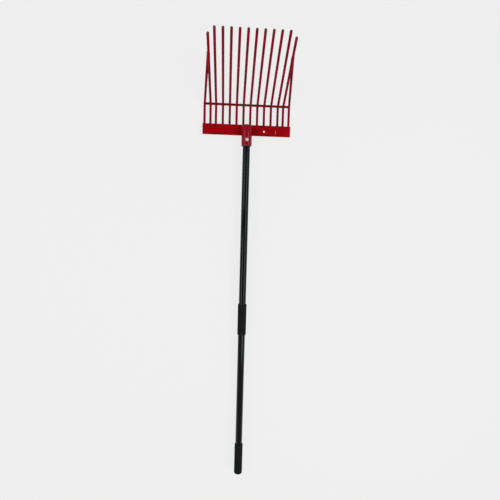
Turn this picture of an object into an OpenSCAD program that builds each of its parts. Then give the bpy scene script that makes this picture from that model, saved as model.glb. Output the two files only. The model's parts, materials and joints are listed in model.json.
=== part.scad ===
// Manure fork: a welded head of bent round tines, a socket and a long tubular handle with two rubber grips.
// The fork lies on its back. X runs along the bar, Y along the handle to the tine tips, and Z points up to
// the side that carries the load. Every length is in millimetres and every angle in degrees.

/* [Handle tube] */
// Outer diameter of the tube
tube_d = 25; // [22:0.5:28]
// Wall of the tube
tube_wall = 1.2; // [1:0.1:2.5]
// Bare tube from the socket mouth to the middle grip
upper_tube_l = 550; // [300:1:800]
// Bare tube between the two grips
lower_tube_l = 420; // [150:1:700]

/* [Middle grip] */
// Length of the sleeve
mid_grip_l = 112; // [80:1:200]
// Wall of the sleeve
mid_grip_wall = 2.8; // [2:0.1:6]
// Length of the tapered end
mid_grip_taper_l = 3; // [1:0.5:30]
// Wall left at the thin end of the taper
mid_grip_lip = 1.6; // [0.5:0.1:1.8]
// Bevel on the square end
mid_grip_bevel = 0.6; // [0.2:0.1:1.5]

/* [End grip] */
// Length of the grip
end_grip_l = 114; // [90:1:220]
// Wall of the grip
end_grip_wall = 2.4; // [2:0.1:6]
// Thickness of its closed end
end_grip_base = 6; // [2:0.5:12]
// Rounding of its closed end
end_grip_corner_r = 3; // [1:0.5:13]
// Bevel on its open end
end_grip_bevel = 1; // [0.2:0.1:1.5]

/* [Socket] */
// Wall of the socket
socket_wall = 5.1; // [4:0.1:8]
// Wall left at the bevelled mouth
socket_lip = 1.8; // [0.8:0.1:3.5]
// Socket below the lower edge of the bar
socket_tail_l = 40; // [36:1:80]
// Drop from the top edge of the bar to the socket's upper rim
socket_drop = 8; // [2:0.5:15]
// Depth of the flat on the socket's back, where it sits on the bar
socket_flat = 1.6; // [0.5:0.1:2.5]
// Rim of the cap that closes the socket's upper end
cap_rim = 1.5; // [0.5:0.1:4]
// Rise of the cap's dome
cap_rise = 4.5; // [1:0.5:8]
// Radius of the weld beads along the socket
weld_r = 4.5; // [3:0.1:6]
// How far a weld bead stops short of the bar's edge and the socket's rim
weld_inset = 2; // [0.5:0.5:5]

/* [Bar] */
// Height of the bar along the handle
bar_h = 36; // [28:1:50]
// Thickness of the bar
bar_t = 5; // [3:0.5:8]
// Bar past the side of each brace rod
bar_margin = 2.2; // [1:0.1:20]
// Rounding of the bar's corners
bar_corner_r = 2; // [0.5:0.5:8]
// Diameter of the hanging hole
hang_hole_d = 6.5; // [4:0.5:8]
// Distance of the hanging hole from the middle
hang_hole_x = 60; // [30:1:100]
// Drop from the top edge of the bar to the hanging hole
hang_hole_drop = 20.5; // [17:0.5:24]

/* [Tines] */
// Number of tines
tine_n = 12; // [6:2:16]
// Diameter of the tine rod
tine_d = 8; // [5:0.1:10]
// Spacing of the inner tines
tine_pitch = 23.6; // [20:0.1:34]
// Spacing from the last inner tine to the outermost one
edge_pitch = 18.7; // [14:0.1:34]
// Lap of each rod on the back of the bar
tine_lap = 12; // [8:0.5:12.5]
// Distance from the bar's top edge to the corner of the bend
throat_l = 65.5; // [50:0.5:120]
// Angle of the bend
bend_angle = 60; // [40:1:75]
// Radius of the bend on the rod's centre line
bend_r = 13; // [10:0.5:25]
// Length of a tine from the corner of the bend to its tip
tine_l = 282; // [200:1:400]
// How much shorter the two outermost tines are
edge_tine_cut = 19; // [0:1:40]
// How far rods sink into what they are welded to
weld_sink = 0.7; // [0.3:0.1:1.2]

/* [Cross rod and braces] */
// Diameter of the cross rod
cross_d = 8; // [4:0.1:10]
// Cross rod past the centre line of each brace
cross_overhang = 2; // [0:0.5:10]
// Diameter of the brace rods
brace_d = 8; // [5:0.1:10]
// Spacing from the outermost tine to the brace at the bar
brace_pitch = 20.2; // [14:0.1:34]
// Distance from the outermost tine's tip down to the brace's end behind it
brace_stop = 67; // [30:1:110]
// How far the brace's end stands out from the middle of the tine's back
brace_aside = 1.6; // [0:0.1:2.5]

/* [Socket bolt] */
// Diameter of the bolt
bolt_d = 6; // [4:0.5:7]
// Width of its head and nut across the flats
bolt_af = 10; // [9:0.5:11]
// Height of its head
bolt_head_h = 4; // [2:0.1:6]
// Height of the nut
nut_h = 5; // [3:0.1:7]
// Bolt past the nut
bolt_stickout = 2; // [0.5:0.5:6]
// Diameter of the washers
washer_d = 12; // [11:0.5:14]
// Thickness of the washers
washer_t = 1.6; // [0.8:0.1:2.5]
// Drop from the lower edge of the bar to the bolt
bolt_drop = 19.5; // [10:0.5:26]

/* [Hidden] */
// Clearance round the tube in the socket, on each side
socket_fit = 0.15;
// Clearance round the tube in the grips, on each side
grip_fit = 0.1;
// Clearance between the tube's upper end and the cap
tube_end_gap = 0.5;
// Clearance of the bolt in the socket and tube, on each side
bolt_clear = 0.25;
// Clearance of the bolt in its nut and washers, on each side
thread_clear = 0.1;
// Clearance of the washers in their seats, on each side
seat_clear = 0.2;
// How far the upper run of a bent rod reaches back into its bend
bend_overlap = 0.3;
// How much the upper run of a bent rod is drawn in on each side, which keeps it inside the bend there
bend_step = 0.05;
// Overrun of every cut
overrun = 1;
// Colours
red = [0.52, 0.02, 0.05];
black = [0.09, 0.10, 0.10];
rubber = [0.12, 0.13, 0.13];
zinc = [0.78, 0.79, 0.80];
$fn = 96;

// Radii of the handle, its grips and the socket
tube_r = tube_d / 2;
grip_bore_r = tube_r + grip_fit;
mid_grip_r = grip_bore_r + mid_grip_wall;
end_grip_r = grip_bore_r + end_grip_wall;
socket_bore_r = tube_r + socket_fit;
socket_r = socket_bore_r + socket_wall;
socket_bevel = socket_wall - socket_lip;

// Height of the handle's axis above the front of the bar
axis_z = socket_r - socket_flat;

// Places along the handle, measured down from the top edge of the bar
tube_at = socket_drop + tube_end_gap;
mouth_at = bar_h + socket_tail_l;
bolt_at = bar_h + bolt_drop;
mid_grip_at = mouth_at + upper_tube_l;
end_grip_at = mid_grip_at + mid_grip_l + lower_tube_l;
handle_end = end_grip_at + end_grip_l;
end_grip_bore_l = end_grip_l - end_grip_base;
end_grip_straight_l = end_grip_l - end_grip_corner_r;
tube_l = end_grip_at + end_grip_bore_l - tube_at;
socket_l = mouth_at - socket_drop;
cap_at = socket_drop - cap_rim - cap_rise;
cap_sphere_r = (pow(socket_r, 2) + pow(cap_rise, 2)) / (2 * cap_rise);
weld_at = socket_drop + weld_inset;
weld_l = bar_h - weld_inset - weld_at;

// Weld beads beside the socket's flat
flat_half_w = sqrt(pow(socket_r, 2) - pow(axis_z, 2));
weld_x = flat_half_w + weld_r / 2;

// Bolt, washers and nut, measured out from the handle's axis
seat_r = washer_d / 2 + seat_clear;
seat_out = sqrt(pow(socket_r, 2) - pow(seat_r, 2));
head_out = seat_out + washer_t;
nut_out = head_out + nut_h;
bolt_out = nut_out + bolt_stickout;
hex_d = bolt_af / cos(30);

// Rods across the head
edge_x = (tine_n - 3) / 2 * tine_pitch + edge_pitch;
brace_x = edge_x + brace_pitch;
bar_w = 2 * (brace_x + brace_d / 2 + bar_margin);
tine_z = rod_z(tine_d);
bend_tangent = bend_r * tan(bend_angle / 2);
edge_tine_l = tine_l - edge_tine_cut;

// Cross rod, nested in the outside of the bend
cross_out = bend_r + (tine_d + cross_d) / 2 - weld_sink;
cross_y = throat_l - bend_tangent + cross_out * sin(bend_angle / 2);
cross_z = tine_z + bend_r - cross_out * cos(bend_angle / 2);
cross_l = 2 * (brace_x + cross_overhang);

// Upper run of a brace, from the corner of its bend to the back of the outermost tine
brace_offset = sqrt(pow((tine_d + brace_d) / 2 - weld_sink, 2) - pow(brace_aside, 2));
brace_up = edge_tine_l - brace_stop;
brace_dx = brace_pitch - brace_aside;
brace_dy = brace_up * cos(bend_angle) + brace_offset * sin(bend_angle);
brace_dz = brace_up * sin(bend_angle) - brace_offset * cos(bend_angle) + tine_z - rod_z(brace_d);
brace_run = norm([brace_dx, brace_dy, brace_dz]);
brace_angle = acos(brace_dy / brace_run);
brace_roll = atan2(brace_dx, brace_dz);

// Box of the whole fork, whose bottom centre is the origin
tip_r = tine_d / 2 - bend_step;
tip_y = throat_l + (tine_l - tip_r) * cos(bend_angle) + tip_r;
middle_y = (tip_y - handle_end) / 2;
bottom_z = min(cross_z - cross_d / 2, tine_z - tine_d / 2, axis_z - bolt_out, axis_z - end_grip_r);

tine_nodes = [for (i = [1 : tine_n]) str("tine_", i < 10 ? "0" : "", i)];

// Height of a rod's axis where the rod is welded to the back of the bar
function rod_z(d) = weld_sink - bar_t - d / 2;

// Place of a tine along the bar
function tine_x(i) = i == 1 ? -edge_x : i == tine_n ? edge_x : (i - (tine_n + 1) / 2) * tine_pitch;

// Moves the bar's top edge from the origin to its place in the part
module placed() {
    translate([0, -middle_y, -bottom_z]) children();
}

// Turns a shape that rises along Z so that it runs down the handle from a place on the handle's axis
module along_handle(at) {
    translate([0, -at, axis_z]) rotate([90, 0, 0]) children();
}

// Moves a shape to the bolt's place on the handle's axis
module at_bolt() {
    translate([0, -bolt_at, axis_z]) children();
}

// Space that the bar takes up
module bar_space() {
    translate([-bar_w / 2, -bar_h, -bar_t]) cube([bar_w, bar_h, bar_t]);
}

// Cross rod as a plain rod
module cross_space() {
    translate([-cross_l / 2, cross_y, cross_z]) rotate([0, 90, 0]) cylinder(d = cross_d, h = cross_l);
}

// Rod that laps the bar, bends up and ends in a round tip, in the plane of Y and Z
module bent_rod(d, angle, reach) {
    tangent = bend_r * tan(angle / 2);
    upper_r = d / 2 - bend_step;
    rise = reach - upper_r;
    translate([0, -tine_lap, 0]) rotate([-90, 0, 0]) cylinder(d = d, h = tine_lap + throat_l - tangent);
    translate([0, throat_l - tangent, bend_r]) rotate([0, 90, 0])
        rotate_extrude(angle = angle) translate([bend_r, 0]) circle(d = d);
    translate([0, throat_l, 0]) rotate([angle - 90, 0, 0]) {
        translate([0, 0, tangent - bend_overlap]) cylinder(r = upper_r, h = rise - tangent + bend_overlap);
        translate([0, 0, rise]) sphere(upper_r);
    }
}

// Tine before it is fitted to the bar and the cross rod
module tine_rod(i) {
    reach = i == 1 || i == tine_n ? edge_tine_l : tine_l;
    translate([tine_x(i), 0, tine_z]) bent_rod(tine_d, bend_angle, reach);
}

module tine(i) {
    color(red) placed() difference() {
        tine_rod(i);
        bar_space();
        cross_space();
    }
}

// Left brace, fitted to the bar, the cross rod and the outermost tine
module fitted_brace() {
    difference() {
        translate([-brace_x, 0, rod_z(brace_d)]) rotate([0, brace_roll, 0])
            bent_rod(brace_d, brace_angle, brace_run + brace_d / 2);
        bar_space();
        cross_space();
        tine_rod(1);
    }
}

module left_brace() {
    color(red) placed() fitted_brace();
}

module right_brace() {
    color(red) placed() mirror([1, 0, 0]) fitted_brace();
}

module cross_rod() {
    color(red) placed() cross_space();
}

// Bar outline with rounded corners, from its middle
module bar_outline() {
    square([bar_w - 2 * bar_corner_r, bar_h], center = true);
    square([bar_w, bar_h - 2 * bar_corner_r], center = true);
    for (x = [-1, 1], y = [-1, 1])
        translate([x * (bar_w / 2 - bar_corner_r), y * (bar_h / 2 - bar_corner_r)]) circle(bar_corner_r);
}

module back_bar() {
    color(red) placed() difference() {
        translate([0, -bar_h / 2, -bar_t]) linear_extrude(bar_t) bar_outline();
        translate([hang_hole_x, -hang_hole_drop, -bar_t - overrun])
            cylinder(d = hang_hole_d, h = bar_t + 2 * overrun);
    }
}

// Hole for the bolt through the socket and the tube
module bolt_hole() {
    at_bolt() translate([0, 0, -socket_r - overrun])
        cylinder(d = bolt_d + 2 * bolt_clear, h = 2 * (socket_r + overrun));
}

// Flat seats for the washers on the front and back of the socket
module washer_seats() {
    for (side = [0, 1])
        at_bolt() mirror([0, 0, side]) translate([0, 0, seat_out])
            cylinder(r = seat_r, h = socket_r - seat_out + overrun);
}

module socket() {
    color(red) placed() difference() {
        along_handle(socket_drop) {
            cylinder(r = socket_r, h = socket_l - socket_bevel);
            translate([0, 0, socket_l - socket_bevel])
                cylinder(r1 = socket_r, r2 = socket_r - socket_bevel, h = socket_bevel);
        }
        along_handle(socket_drop - overrun) cylinder(r = socket_bore_r, h = socket_l + 2 * overrun);
        bar_space();
        bolt_hole();
        washer_seats();
    }
}

module socket_cap() {
    color(red) placed() difference() {
        along_handle(cap_at) intersection() {
            cylinder(r = socket_r, h = cap_rim + cap_rise);
            translate([0, 0, cap_sphere_r]) sphere(cap_sphere_r);
        }
        bar_space();
    }
}

// Half round bead on each side of the socket, cut to the socket's round
module weld_outline() {
    difference() {
        for (side = [-1, 1])
            translate([side * weld_x, 0]) intersection() {
                circle(weld_r);
                translate([-weld_r, 0]) square([2 * weld_r, weld_r]);
            }
        translate([0, axis_z]) circle(socket_r);
    }
}

module socket_welds() {
    color(red) placed() translate([0, -weld_at, 0]) rotate([90, 0, 0]) linear_extrude(weld_l) weld_outline();
}

module handle_tube() {
    color(black) placed() difference() {
        along_handle(tube_at) difference() {
            cylinder(r = tube_r, h = tube_l);
            translate([0, 0, -overrun]) cylinder(r = tube_r - tube_wall, h = tube_l + 2 * overrun);
        }
        bolt_hole();
    }
}

module mid_grip() {
    color(rubber) placed() along_handle(mid_grip_at) rotate_extrude() polygon([
        [grip_bore_r, 0],
        [mid_grip_r - mid_grip_bevel, 0],
        [mid_grip_r, mid_grip_bevel],
        [mid_grip_r, mid_grip_l - mid_grip_taper_l],
        [grip_bore_r + mid_grip_lip, mid_grip_l],
        [grip_bore_r, mid_grip_l]
    ]);
}

// Half section of the end grip, from its open end to its rounded closed end
module end_grip_outline() {
    difference() {
        union() {
            polygon([
                [0, 0],
                [end_grip_r - end_grip_bevel, 0],
                [end_grip_r, end_grip_bevel],
                [end_grip_r, end_grip_straight_l],
                [0, end_grip_straight_l]
            ]);
            translate([0, end_grip_straight_l]) square([end_grip_r - end_grip_corner_r, end_grip_corner_r]);
            translate([end_grip_r - end_grip_corner_r, end_grip_straight_l]) intersection() {
                circle(end_grip_corner_r);
                square(end_grip_corner_r);
            }
        }
        translate([0, -overrun]) square([grip_bore_r, end_grip_bore_l + overrun]);
    }
}

module end_grip() {
    color(rubber) placed() along_handle(end_grip_at) rotate_extrude() end_grip_outline();
}

module socket_bolt() {
    color(zinc) placed() at_bolt() {
        translate([0, 0, head_out]) cylinder(d = hex_d, h = bolt_head_h, $fn = 6);
        translate([0, 0, -bolt_out]) cylinder(d = bolt_d, h = bolt_out + head_out + bolt_head_h);
    }
}

module bolt_washers() {
    color(zinc) placed() at_bolt() for (side = [0, 1])
        mirror([0, 0, side]) translate([0, 0, seat_out]) difference() {
            cylinder(d = washer_d, h = washer_t);
            translate([0, 0, -overrun]) cylinder(d = bolt_d + 2 * thread_clear, h = washer_t + 2 * overrun);
        }
}

module socket_nut() {
    color(zinc) placed() at_bolt() translate([0, 0, -nut_out]) difference() {
        cylinder(d = hex_d, h = nut_h, $fn = 6);
        translate([0, 0, -overrun]) cylinder(d = bolt_d + 2 * thread_clear, h = nut_h + 2 * overrun);
    }
}

back_bar();
cross_rod();
left_brace();
right_brace();
socket();
socket_cap();
socket_welds();
handle_tube();
mid_grip();
end_grip();
socket_bolt();
bolt_washers();
socket_nut();
for (i = [1 : tine_n])
    tine(i);
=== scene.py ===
"""Looks of a manure fork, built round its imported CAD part.

The fork lies on its back. X runs along the bar, Y along the handle to the tine tips, and Z points up to
the side that carries the load. Shapes are made in millimetres, measured from the middle of the bar's top
front edge, and each piece goes to the part's frame in metres when it is finished.
"""

import json
import logging
import math
from collections.abc import Iterable, Sequence
from dataclasses import astuple, dataclass
from enum import Enum
from functools import cached_property
from typing import ClassVar

import bmesh
import bpy
from bmesh.types import BMEdge, BMesh, BMFace, BMVert
from mathutils import Matrix, Vector


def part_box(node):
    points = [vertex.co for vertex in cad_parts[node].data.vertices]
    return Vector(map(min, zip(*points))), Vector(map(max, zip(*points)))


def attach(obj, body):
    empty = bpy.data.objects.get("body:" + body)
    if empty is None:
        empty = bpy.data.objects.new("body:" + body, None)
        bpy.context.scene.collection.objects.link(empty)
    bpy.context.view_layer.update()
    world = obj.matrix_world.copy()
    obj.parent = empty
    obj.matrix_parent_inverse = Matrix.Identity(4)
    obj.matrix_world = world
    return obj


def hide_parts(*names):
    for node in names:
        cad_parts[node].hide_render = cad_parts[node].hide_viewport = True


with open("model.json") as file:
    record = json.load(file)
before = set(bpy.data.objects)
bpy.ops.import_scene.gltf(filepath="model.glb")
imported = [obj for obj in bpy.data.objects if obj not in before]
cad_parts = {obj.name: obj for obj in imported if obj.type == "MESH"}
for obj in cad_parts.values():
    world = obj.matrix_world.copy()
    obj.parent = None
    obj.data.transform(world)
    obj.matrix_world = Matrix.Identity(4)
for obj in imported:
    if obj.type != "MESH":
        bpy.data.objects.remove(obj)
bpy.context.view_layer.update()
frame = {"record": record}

LOG = logging.getLogger("manure_fork")
BODY = "root"
MM = 0.001
TURN = 2.0 * math.pi
QUARTER = TURN / 4
MERGE_GAP = 1e-4
DIGITS = 3
WEAR = "wear"
SHARP_ANGLE = math.radians(32.0)
CREASE_ANGLE = math.radians(60.0)
CORNER_SEGMENTS = 3
MIX_COLOURS = slice(6, 8)
MIX_RESULT = 2
COLOURS = {row["slot"]: tuple(row["base_color"]) for row in frame["record"]["materials"]}

Colour = tuple[float, float, float]
Pair = tuple[float, float]
Feed = bpy.types.NodeSocket | float | Sequence[float]
Geometry = BMVert | BMEdge | BMFace


class Slot(Enum):
    """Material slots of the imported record."""

    RED_PAINT = "red_paint"
    BLACK_PAINT = "black_paint"
    GRIP_RUBBER = "grip_rubber"
    ZINC = "zinc"


class Side(Enum):
    """Sides along X, seen from the load side."""

    LEFT = -1
    RIGHT = 1


class Cut(Enum):
    """Ways to combine two closed shapes."""

    AWAY = "DIFFERENCE"
    COMMON = "INTERSECT"


def shift(x: float, y: float, z: float) -> Matrix:
    """Gives the matrix of a move."""
    return Matrix.Translation((x, y, z))


def turn(angle: float, axis: str) -> Matrix:
    """Gives the matrix of a turn about X, Y or Z."""
    return Matrix.Rotation(angle, 4, axis)


def to_part() -> Matrix:
    """Gives the matrix from millimetres at the bar's top front edge to the part's frame."""
    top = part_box("back_bar")[1]
    return shift(0.0, top.y, top.z) @ Matrix.Scale(MM, 4)


def new_shape() -> BMesh:
    """Starts an empty shape with a wear value on every vertex.

    Returns:
        The shape.
    """
    shape = bmesh.new()
    shape.verts.layers.float.new(WEAR)
    return shape


def placed(shape: BMesh, place: Matrix) -> BMesh:
    """Moves a whole shape by a matrix and gives it back."""
    bmesh.ops.transform(shape, matrix=place, verts=shape.verts)
    return shape


def verts_of(items: Iterable[Geometry]) -> list[BMVert]:
    """Picks the vertices out of what an operator made."""
    return [item for item in items if isinstance(item, BMVert)]


def edges_of(items: Iterable[Geometry]) -> list[BMEdge]:
    """Picks the edges out of what an operator made."""
    return [item for item in items if isinstance(item, BMEdge)]


def middle_of(verts: Sequence[BMVert]) -> Vector:
    """Gives the middle of some vertices."""
    return sum((vert.co for vert in verts), Vector()) / len(verts)


def mark_wear(shape: BMesh, verts: Iterable[BMVert]) -> None:
    """Marks vertices where paint or rubber rubs off first.

    Args:
        shape: the shape that the vertices belong to.
        verts: the vertices to mark.
    """
    layer = shape.verts.layers.float[WEAR]
    for vert in verts:
        vert[layer] = 1.0


def absorb(shape: BMesh, other: BMesh) -> None:
    """Moves the geometry of one shape into another.

    Args:
        shape: the shape that receives the geometry.
        other: the shape that is used up.
    """
    mesh = bpy.data.meshes.new("absorb")
    other.to_mesh(mesh)
    other.free()
    shape.from_mesh(mesh)
    bpy.data.meshes.remove(mesh)


def to_object(shape: BMesh, name: str) -> bpy.types.Object:
    """Turns a shape into an object of the scene.

    Args:
        shape: the shape, which is used up.
        name: the object's name.

    Returns:
        The object.
    """
    mesh = bpy.data.meshes.new(name)
    shape.to_mesh(mesh)
    shape.free()
    made = bpy.data.objects.new(name, mesh)
    bpy.context.scene.collection.objects.link(made)
    return made


def combine(shape: BMesh, tool: BMesh, cut: Cut) -> BMesh:
    """Combines two closed shapes with the exact solver.

    Args:
        shape: the shape that is cut, which is used up.
        tool: the shape that cuts it, which is used up.
        cut: how they are combined.

    Returns:
        A new shape.
    """
    objects = []
    for part in (shape, tool):
        bmesh.ops.recalc_face_normals(part, faces=part.faces)
        objects.append(to_object(part, "combine"))
    modifier = objects[0].modifiers.new("combine", "BOOLEAN")
    modifier.operation = cut.value
    modifier.solver = "EXACT"
    modifier.object = objects[1]
    made = new_shape()
    made.from_object(objects[0], bpy.context.evaluated_depsgraph_get())
    for part in objects:
        mesh = part.data
        bpy.data.objects.remove(part)
        bpy.data.meshes.remove(mesh)
    return made


def round_corner(shape: BMesh, vert: BMVert, radius: float) -> None:
    """Rounds one corner of an outline that has no faces yet.

    Args:
        shape: the shape that holds the outline.
        vert: the corner.
        radius: the rounding, which gets one more segment for each whole millimetre.
    """
    made = bmesh.ops.bevel(
        shape, geom=[vert], offset=radius, segments=CORNER_SEGMENTS + int(radius), profile=0.5,
        affect="VERTICES", material=-1, clamp_overlap=True,
    )["verts"]
    mark_wear(shape, [v for v in made if all(edge.other_vert(v) in made for edge in v.link_edges)])


def spun(shape: BMesh, steps: int) -> BMesh:
    """Spins an outline once round the Z axis and closes its seam and poles.

    Args:
        shape: the shape that holds the outline.
        steps: faces round the piece.

    Returns:
        The same shape.
    """
    bmesh.ops.spin(
        shape, geom=shape.verts[:] + shape.edges[:], cent=(0.0, 0.0, 0.0), axis=(0.0, 0.0, 1.0),
        dvec=(0.0, 0.0, 0.0), angle=TURN, steps=steps, use_merge=True, use_duplicate=False,
    )
    bmesh.ops.remove_doubles(shape, verts=shape.verts, dist=MERGE_GAP)
    return shape


def turned(corners: Sequence[Pair], rounds: Sequence[float] = (), steps: int = 96) -> BMesh:
    """Turns a half section about the Z axis.

    Args:
        corners: radius and height of each corner; a section that starts on the axis stays open there.
        rounds: rounding of the first corners, in the same order.
        steps: faces round the piece.

    Returns:
        The turned shape.
    """
    shape = new_shape()
    verts = [shape.verts.new((radius, 0.0, height)) for radius, height in corners]
    closing = verts[:1] if corners[0][0] > 0.0 else []
    for first, second in zip(verts, verts[1:] + closing):
        shape.edges.new((first, second))
    for vert, rounding in zip(verts, rounds):
        if rounding > 0.0:
            round_corner(shape, vert, rounding)
    return spun(shape, steps)


def grow(
    shape: BMesh, rim: Sequence[BMEdge], step: Vector, scale: float = 1.0
) -> tuple[list[BMVert], list[BMEdge]]:
    """Extrudes a ring of edges by one step and scales the new ring about its middle.

    Args:
        shape: the shape that the ring belongs to.
        rim: the ring's edges.
        step: the way from the old ring to the new one.
        scale: size of the new ring against the old one.

    Returns:
        The new ring's vertices and edges.
    """
    made = bmesh.ops.extrude_edge_only(shape, edges=rim)["geom"]
    verts = verts_of(made)
    bmesh.ops.translate(shape, vec=step, verts=verts)
    if scale != 1.0:
        centred = Matrix.Translation(-middle_of(verts))
        bmesh.ops.scale(shape, vec=(scale,) * 3, space=centred, verts=verts)
    return verts, edges_of(made)


def close_ring(shape: BMesh, verts: Sequence[BMVert]) -> None:
    """Draws a ring of vertices together in its middle."""
    bmesh.ops.pointmerge(shape, verts=verts, merge_co=middle_of(verts))


def finish_piece(shape: BMesh, name: str, coat: "Finish", *nodes: str) -> None:
    """Turns a shape in millimetres into a finished piece of the fork.

    Args:
        shape: the shape, which is used up.
        name: the piece's name.
        coat: the finish that dresses it.
        nodes: the CAD nodes that it stands for.
    """
    bmesh.ops.recalc_face_normals(shape, faces=shape.faces)
    for face in shape.faces:
        face.smooth = True
    for edge in shape.edges:
        edge.smooth = edge.calc_face_angle(0.0) < SHARP_ANGLE
    piece = to_object(placed(shape, to_part()), name)
    piece.data.materials.append(coat.material())
    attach(piece, BODY)
    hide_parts(*nodes)
    LOG.info("%s: %d faces, stands for %s", name, len(piece.data.polygons), ", ".join(nodes))


@dataclass(frozen=True)
class Noise:
    """A noise pattern.

    Attributes:
        scale: patches to the metre.
        detail: how many finer layers it has.
        roughness: how strong the finer layers are.
        stretch: scale of the coordinates along each axis first, if any.
    """

    scale: float
    detail: float = 2.0
    roughness: float = 0.5
    stretch: tuple[float, float, float] | None = None


@dataclass(frozen=True)
class Span:
    """A smooth change between two levels while a value goes from low to high."""

    low: float = 0.3
    high: float = 0.7
    to_low: float = 0.0
    to_high: float = 1.0


class NodeBench:
    """Short calls that build the nodes of one material or sky."""

    def __init__(self, owner: bpy.types.Material | bpy.types.World, space: str = "Object") -> None:
        """Clears the owner's nodes.

        Args:
            owner: the material or the world.
            space: the coordinates that its patterns read.
        """
        owner.use_nodes = True
        self.tree = owner.node_tree
        self.tree.nodes.clear()
        self.space = space

    @cached_property
    def coords(self) -> bpy.types.NodeSocket:
        """The coordinates that the patterns read."""
        return self.node("ShaderNodeTexCoord").outputs[self.space]

    def feed(self, socket: bpy.types.NodeSocket, value: Feed) -> None:
        """Links a socket to an output, or sets its value.

        Args:
            socket: the input.
            value: an output to link, a number, a colour or a row of numbers.
        """
        if isinstance(value, bpy.types.NodeSocket):
            self.tree.links.new(value, socket)
        elif socket.type == "RGBA":
            socket.default_value = (*value, 1.0)
        else:
            socket.default_value = value

    def node(self, kind: str, *first: Feed, **named: Feed) -> bpy.types.Node:
        """Adds a node and feeds its inputs.

        Args:
            kind: the node's type in Blender.
            first: what its first inputs get, in order.
            named: what other inputs get, by name, with underscores for spaces.

        Returns:
            The node.
        """
        node = self.tree.nodes.new(kind)
        for socket, value in zip(node.inputs, first):
            self.feed(socket, value)
        for name, value in named.items():
            self.feed(node.inputs[name.replace("_", " ")], value)
        return node

    def noise(self, pattern: Noise) -> bpy.types.NodeSocket:
        """Adds a noise.

        Args:
            pattern: its pattern.

        Returns:
            The noise's value.
        """
        place = self.coords
        if pattern.stretch is not None:
            place = self.node("ShaderNodeMapping", Vector=place, Scale=pattern.stretch).outputs[0]
        return self.node(
            "ShaderNodeTexNoise", Vector=place, Scale=pattern.scale, Detail=pattern.detail,
            Roughness=pattern.roughness,
        ).outputs[0]

    def cells(self, scale: float, smoothness: float) -> bpy.types.NodeSocket:
        """Adds smooth cells.

        Args:
            scale: cells to the metre.
            smoothness: how far neighbours run together.

        Returns:
            The distance from each cell's middle.
        """
        node = self.node("ShaderNodeTexVoronoi", Vector=self.coords, Scale=scale)
        node.feature = "SMOOTH_F1"
        self.feed(node.inputs["Smoothness"], smoothness)
        return node.outputs["Distance"]

    def span(self, value: Feed, levels: Span) -> bpy.types.NodeSocket:
        """Maps a value smoothly to two levels and the range between them.

        Args:
            value: the value.
            levels: the value's range and the levels.

        Returns:
            The mapped value.
        """
        node = self.node("ShaderNodeMapRange", value, *astuple(levels))
        node.interpolation_type = "SMOOTHSTEP"
        return node.outputs[0]

    def calc(self, operation: str, *values: Feed) -> bpy.types.NodeSocket:
        """Works out one operation.

        Args:
            operation: the operation's name in Blender.
            values: the value or the two values that it takes.

        Returns:
            The result.
        """
        node = self.node("ShaderNodeMath", *values)
        node.operation = operation
        return node.outputs[0]

    def blend(self, share: Feed, first: Feed, second: Feed) -> bpy.types.NodeSocket:
        """Blends two colours.

        Args:
            share: share of the second colour.
            first: the first colour.
            second: the second colour.

        Returns:
            The blended colour.
        """
        node = self.node("ShaderNodeMix", share)
        node.data_type = "RGBA"
        for socket, colour in zip(node.inputs[MIX_COLOURS], (first, second)):
            self.feed(socket, colour)
        return node.outputs[MIX_RESULT]

    def tones(self, share: Feed, colour: Colour, factors: Pair) -> bpy.types.NodeSocket:
        """Blends a darker and a lighter tone of a colour."""
        return self.blend(share, *(scaled(colour, factor) for factor in factors))

    def worn(self, pattern: Noise, levels: Span) -> bpy.types.NodeSocket:
        """Gives the share of wear on marked edges, broken up by a noise.

        Args:
            pattern: the noise.
            levels: where the wear starts and where it is full.

        Returns:
            The share.
        """
        mark = self.node("ShaderNodeAttribute")
        mark.attribute_name = WEAR
        return self.span(self.calc("MULTIPLY", mark.outputs["Fac"], self.noise(pattern)), levels)

    def along(self, axis: str) -> bpy.types.NodeSocket:
        """Gives the coordinate along X, Y or Z."""
        return self.node("ShaderNodeSeparateXYZ", self.coords).outputs[axis]

    def shade(self, *bumps: tuple[bpy.types.NodeSocket, Pair], **values: Feed) -> None:
        """Adds the shader with bumps stacked on its normal.

        Args:
            bumps: value of each bump, with its height in metres and its strength.
            values: the shader's inputs by name, with underscores for spaces.
        """
        normal = {}
        for value, (height, strength) in bumps:
            bump = self.node("ShaderNodeBump", Height=value, Distance=height, Strength=strength, **normal)
            normal = {"Normal": bump.outputs[0]}
        shader = self.node("ShaderNodeBsdfPrincipled", **values, **normal)
        self.node("ShaderNodeOutputMaterial", Surface=shader.outputs[0])


def scaled(colour: Colour, factor: float) -> Colour:
    """Gives a colour that is lighter or darker by a factor."""
    return tuple(channel * factor for channel in colour)


def tinted(colour: Colour, tint: Colour) -> Colour:
    """Gives a colour with a factor on each channel."""
    return tuple(channel * factor for channel, factor in zip(colour, tint))


@dataclass(frozen=True)
class Finish:
    """A finish that dresses pieces.

    Attributes:
        slot: the record's slot that gives its colour.
        name: the material's name.
    """

    slot: ClassVar[Slot]
    name: str

    @property
    def colour(self) -> Colour:
        """The slot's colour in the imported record."""
        return COLOURS[self.slot.value]

    def material(self) -> bpy.types.Material:
        """Gives the material, which is built at its first use.

        Returns:
            The material.
        """
        material = bpy.data.materials.get(self.name)
        if material is None:
            material = bpy.data.materials.new(self.name)
            self.paint(NodeBench(material))
        return material

    def paint(self, bench: NodeBench) -> None:
        """Builds the material's nodes on a bench."""
        raise NotImplementedError


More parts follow.
